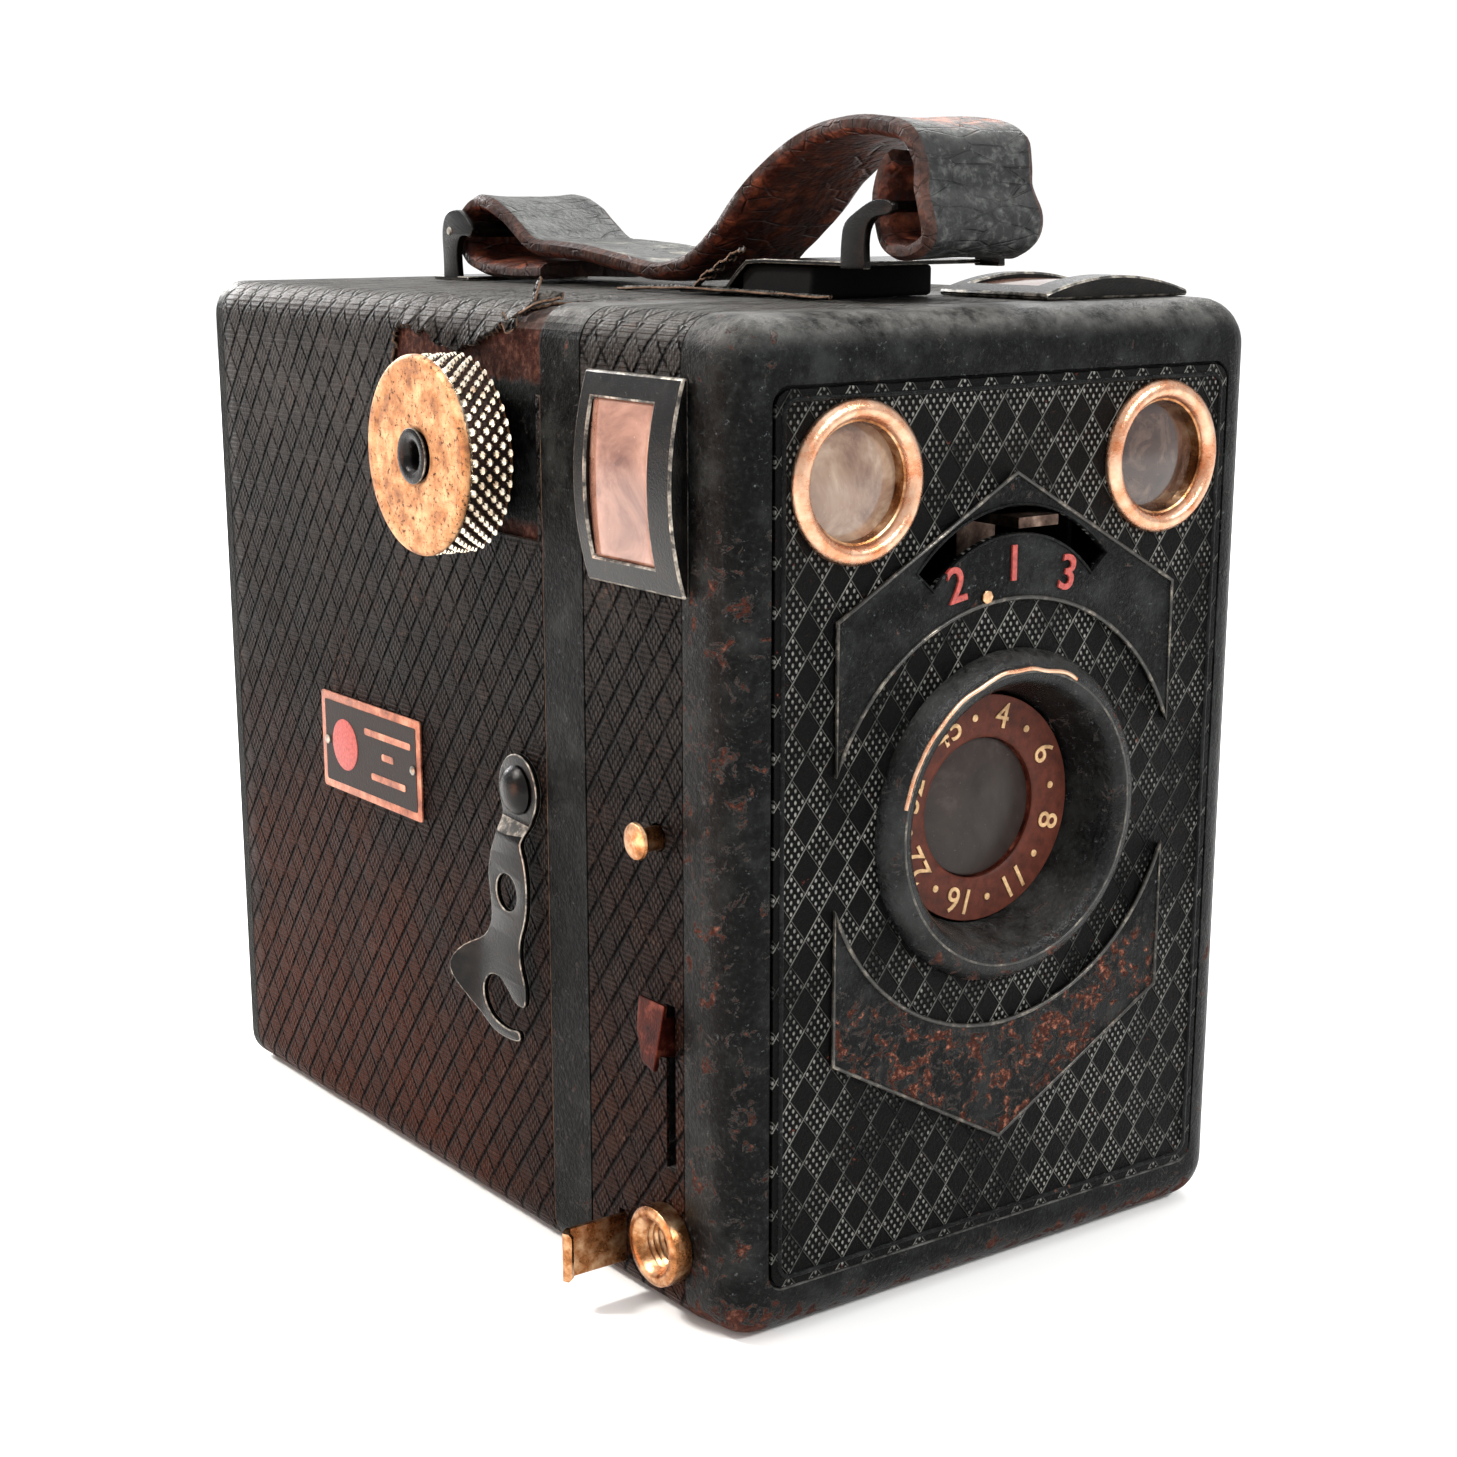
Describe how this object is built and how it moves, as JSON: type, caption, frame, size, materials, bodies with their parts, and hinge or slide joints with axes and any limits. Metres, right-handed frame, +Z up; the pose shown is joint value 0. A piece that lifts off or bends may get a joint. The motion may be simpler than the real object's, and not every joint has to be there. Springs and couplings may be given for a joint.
{
  "type": "box camera",
  "caption": "Upright box camera: leatherette rear case, slide-out front section with lens, finders and film carrier, winding knob and strap.",
  "frame": {"origin": "centre of the underside of the body, on the surface it stands on", "axes": "+Z up, lens looks along -Y, winding knob on the -X side"},
  "size_m": [0.0914, 0.1256, 0.1349],
  "materials": {
    "black_enamel": "baked black enamel, chipped to rust",
    "embossed_panel": "black enamel over an embossed pattern",
    "leatherette": "black embossed leatherette",
    "strap_leather": "worn black leather, brown inside",
    "dark_steel": "dark worn steel",
    "dark_fittings": "satin grey-black",
    "bright_steel": "plain steel",
    "brass": "tarnished brass",
    "knob_plating": "worn pale gold plating",
    "copper": "worn copper plating",
    "red_copper": "red-brown tarnished copper",
    "ring_enamel": "red-brown enamel",
    "clear_glass": "polished",
    "mirror": "silvered",
    "ruby": "ruby celluloid",
    "nameplate_metal": "printed metal",
    "spool_black": "black"
  },
  "bodies": {
    "rear_case": {"rear_case_shell": "black_enamel", "leatherette_wrap": "leatherette", "leatherette_back": "leatherette", "red_window_eyelet": "bright_steel", "red_window": "ruby", "nameplate": "nameplate_metal", "strap": "strap_leather", "strap_loop_rear": "dark_steel", "strap_bracket_front": "dark_steel", "winder_bush": "dark_steel", "latch_rivet_left": "dark_steel", "latch_rivet_right": "dark_steel"},
    "front_section": {"front_shell": "black_enamel", "leatherette_front": "leatherette", "front_panel": "embossed_panel", "lens_barrel": "black_enamel", "lens_ring": "ring_enamel", "lens": "clear_glass", "lens_cell": "dark_fittings", "lens_board": "black_enamel", "finder_bezel_left": "copper", "finder_bezel_right": "copper", "finder_lens_left": "clear_glass", "finder_lens_right": "clear_glass", "side_window_frame": "dark_fittings", "side_window_glass": "clear_glass", "top_window_frame": "dark_fittings", "top_window_glass": "clear_glass", "finder_box_left": "black_enamel", "finder_box_right": "black_enamel", "finder_mirror_left": "mirror", "finder_mirror_right": "mirror", "tripod_bush_side": "brass", "tripod_bush_bottom": "brass", "carrier_bulkhead": "black_enamel", "light_tunnel": "dark_fittings", "film_gate": "bright_steel", "cheek_plate_left": "bright_steel", "cheek_plate_right": "bright_steel", "spool_pin_take_up": "bright_steel", "spool_pin_supply_left": "bright_steel", "spool_pin_supply_right": "bright_steel", "latch_peg_left": "brass", "latch_peg_right": "brass"},
    "hub": {"winder_hub": "brass"},
    "knob": {"winding_knob": "knob_plating", "winding_shaft": "dark_steel", "knob_rivet": "dark_steel"},
    "latch_l": {"latch_left": "dark_steel"},
    "latch_r": {"latch_right": "dark_steel"},
    "aperture": {"aperture_plate": "bright_steel"},
    "lever": {"shutter_lever": "red_copper"},
    "blade": {"shutter_blade": "dark_fittings"},
    "time_setting": {"time_tab": "brass"},
    "spool": {"take_up_spool": "spool_black"},
    "roller_top": {"film_roller_top": "bright_steel"},
    "roller_bottom": {"film_roller_bottom": "bright_steel"}
  },
  "joints": [
    {"name": "front_slide", "type": "slide", "parent": "rear_case", "child": "front_section", "axis": [0, -1, 0], "range_m": [0, 0.09]},
    {"name": "winder_turn", "type": "hinge", "parent": "rear_case", "child": "hub", "pos_m": [-0.0385, -0.0108, 0.097], "axis": [1, 0, 0], "continuous": true},
    {"name": "winder_pull", "type": "slide", "parent": "hub", "child": "knob", "axis": [-1, 0, 0], "range_m": [0, 0.006]},
    {"name": "latch_left_swing", "type": "hinge", "parent": "rear_case", "child": "latch_l", "pos_m": [-0.0398, -0.0188, 0.0574], "axis": [-1, 0, 0], "range_deg": [0, 94]},
    {"name": "latch_right_swing", "type": "hinge", "parent": "rear_case", "child": "latch_r", "pos_m": [0.0398, -0.0188, 0.0574], "axis": [-1, 0, 0], "range_deg": [0, 94]},
    {"name": "aperture_turn", "type": "hinge", "parent": "front_section", "child": "aperture", "pos_m": [0, -0.05315, 0.0738], "axis": [0, 1, 0], "range_deg": [-32, 32]},
    {"name": "shutter_lever_swing", "type": "hinge", "parent": "front_section", "child": "lever", "pos_m": [-0.008, -0.0494, 0.0285], "axis": [0, -1, 0], "range_deg": [0, 22.8]},
    {"name": "shutter_blade_swing", "type": "hinge", "parent": "front_section", "child": "blade", "pos_m": [-0.012, -0.05215, 0.04], "axis": [0, -1, 0], "range_deg": [0, 50.2]},
    {"name": "time_setting_slide", "type": "slide", "parent": "front_section", "child": "time_setting", "axis": [1, 0, 0], "range_m": [0, 0.004]},
    {"name": "take_up_turn", "type": "hinge", "parent": "front_section", "child": "spool", "pos_m": [0, -0.0108, 0.097], "axis": [1, 0, 0], "continuous": true},
    {"name": "roller_top_turn", "type": "hinge", "parent": "front_section", "child": "roller_top", "pos_m": [0, 0.055, 0.1038], "axis": [1, 0, 0], "continuous": true},
    {"name": "roller_bottom_turn", "type": "hinge", "parent": "front_section", "child": "roller_bottom", "pos_m": [0, 0.055, 0.0102], "axis": [1, 0, 0], "continuous": true}
  ],
  "couplings": [
    {"joint": "take_up_turn", "follows": "winder_turn", "ratio": 1},
    {"joint": "shutter_blade_swing", "follows": "shutter_lever_swing", "ratio": 2.2}
  ]
}
